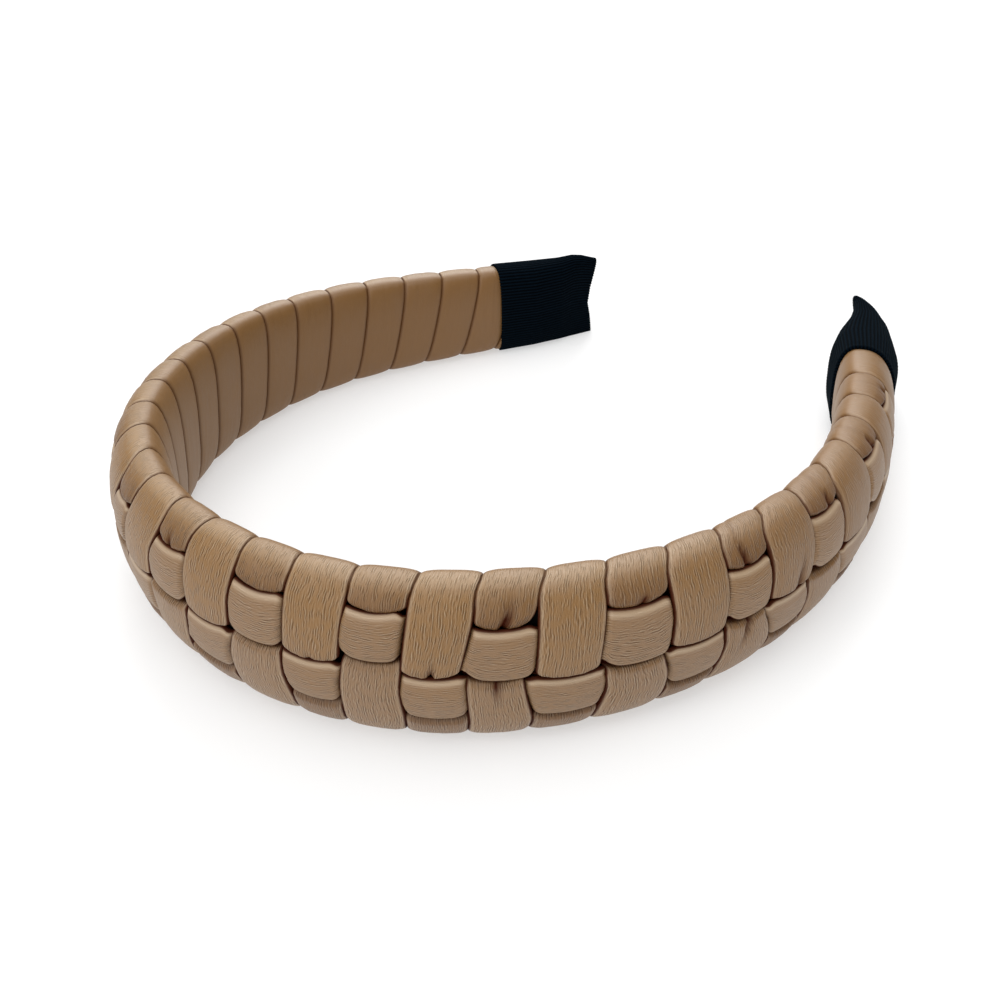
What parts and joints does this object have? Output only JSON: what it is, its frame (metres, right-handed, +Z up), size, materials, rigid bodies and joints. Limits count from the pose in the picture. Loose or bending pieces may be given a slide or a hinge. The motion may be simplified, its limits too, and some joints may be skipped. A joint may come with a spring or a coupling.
{
  "type": "padded braided headband",
  "caption": "Padded headband wound with soft leather strips that are woven over and under two long strips on its front, closed with a ribbon sleeve at each tip.",
  "frame": {"origin": "the middle of the floor under the whole band, at the bottom of its bounding box", "axes": "+Z up from the floor, across the band's width; -Y is where the crown's front faces, +Y where the hoop is open; +X is towards the right arm"},
  "size_m": [0.1512, 0.162, 0.0334],
  "materials": {
    "strip_leather": "satin",
    "ribbon": "matt ribbed",
    "padding": "matt"
  },
  "bodies": {
    "root": {"band_core": "padding", "wrap_strip": "strip_leather", "long_strip_upper": "strip_leather", "long_strip_lower": "strip_leather", "tip_ribbon_left": "ribbon", "tip_ribbon_right": "ribbon"}
  },
  "joints": []
}
